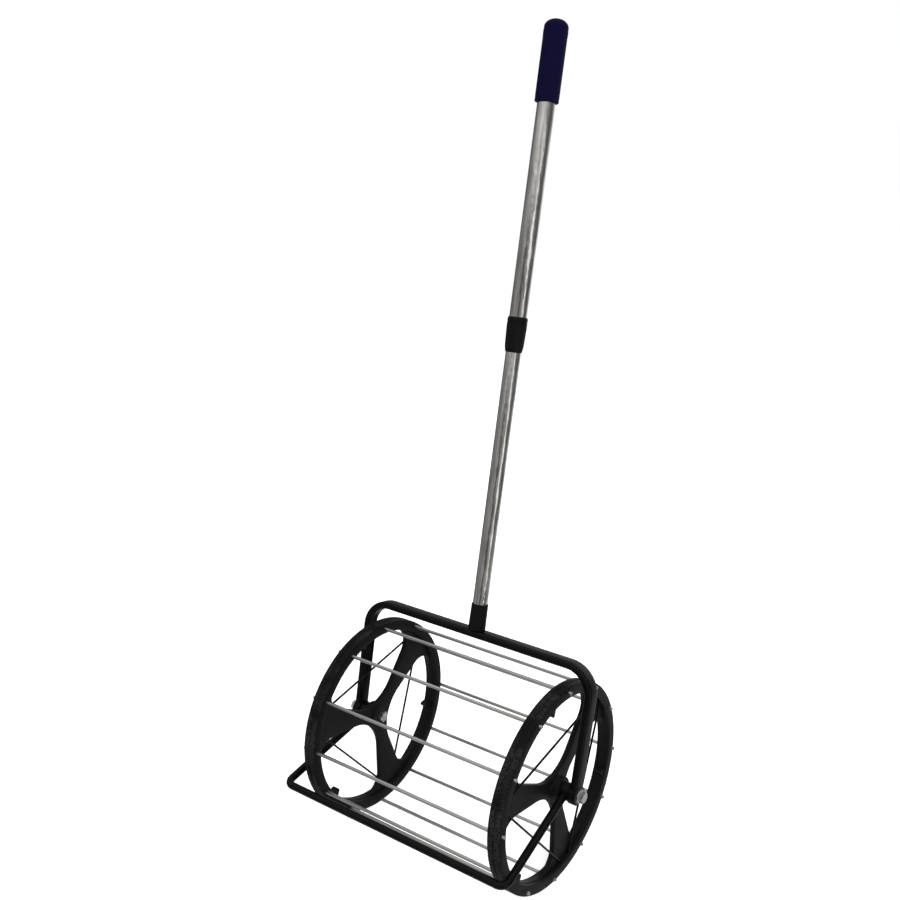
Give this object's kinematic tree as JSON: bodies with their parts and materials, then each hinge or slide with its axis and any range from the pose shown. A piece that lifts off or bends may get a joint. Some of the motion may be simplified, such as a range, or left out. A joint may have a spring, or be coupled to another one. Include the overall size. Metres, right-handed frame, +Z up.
{
  "type": "tennis ball cart",
  "caption": "Rolling tennis ball collector: a drum of steel rods between spoked end discs, on a U frame with a telescopic pole, a twist lock, a foam grip and a swinging front bail.",
  "frame": {"origin": "bottom centre of the bounding box: on the floor, midway between the two ends of the axle, and midway between the bail's bar and the grip", "axes": "+X along the drum's axle to the cart's right hand end, +Y back, the way the pole leans, +Z up"},
  "size_m": [0.3704, 0.3622, 1.0109],
  "materials": {
    "black_moulded_plastic": "black injection moulded plastic with a faint grain",
    "black_painted_tube": "black semi gloss paint on steel",
    "black_painted_wire": "black painted steel wire",
    "bright_spring_steel": "bright drawn spring steel",
    "polished_steel_tube": "polished steel tube with fine drawing lines",
    "zinc_plated_steel": "bright zinc plating",
    "navy_rubber": "matt dark navy foam rubber"
  },
  "bodies": {
    "handle": {"handle_frame": "black_painted_tube", "pole_socket": "black_moulded_plastic", "lower_tube": "polished_steel_tube", "axle_bolt_right": "zinc_plated_steel", "axle_bolt_left": "zinc_plated_steel", "axle_nut_right": "zinc_plated_steel", "axle_nut_left": "zinc_plated_steel", "axle_washer_right": "zinc_plated_steel", "axle_washer_left": "zinc_plated_steel"},
    "drum": {"end_disc_right": "black_moulded_plastic", "end_disc_left": "black_moulded_plastic", "rod_01": "bright_spring_steel", "rod_02": "bright_spring_steel", "rod_03": "bright_spring_steel", "rod_04": "bright_spring_steel", "rod_05": "bright_spring_steel", "rod_06": "bright_spring_steel", "rod_07": "bright_spring_steel", "rod_08": "bright_spring_steel", "rod_09": "bright_spring_steel", "rod_10": "bright_spring_steel", "rod_11": "bright_spring_steel", "rod_12": "bright_spring_steel", "guard_wire_right_1": "black_painted_wire", "guard_wire_right_2": "black_painted_wire", "guard_wire_right_3": "black_painted_wire", "guard_wire_left_1": "black_painted_wire", "guard_wire_left_2": "black_painted_wire", "guard_wire_left_3": "black_painted_wire"},
    "bail": {"front_bail": "black_painted_tube"},
    "upper_pole": {"upper_tube": "polished_steel_tube", "grip": "navy_rubber"},
    "collar": {"lock_collar": "black_moulded_plastic"}
  },
  "joints": [
    {"name": "drum_spin", "type": "hinge", "parent": "handle", "child": "drum", "pos_m": [0, -0.02403, 0.1365], "axis": [1, 0, 0], "continuous": true},
    {"name": "bail_swing", "type": "hinge", "parent": "handle", "child": "bail", "pos_m": [0, -0.02403, 0.1365], "axis": [1, 0, 0], "range_deg": [-96, 43]},
    {"name": "pole_slide", "type": "slide", "parent": "handle", "child": "upper_pole", "axis": [0, 0.2159, 0.9764], "range_m": [-0.29, 0]},
    {"name": "lock_twist", "type": "hinge", "parent": "upper_pole", "child": "collar", "pos_m": [0, 0.08732, 0.64003], "axis": [0, 0.2159, 0.9764], "range_deg": [0, 90]}
  ]
}
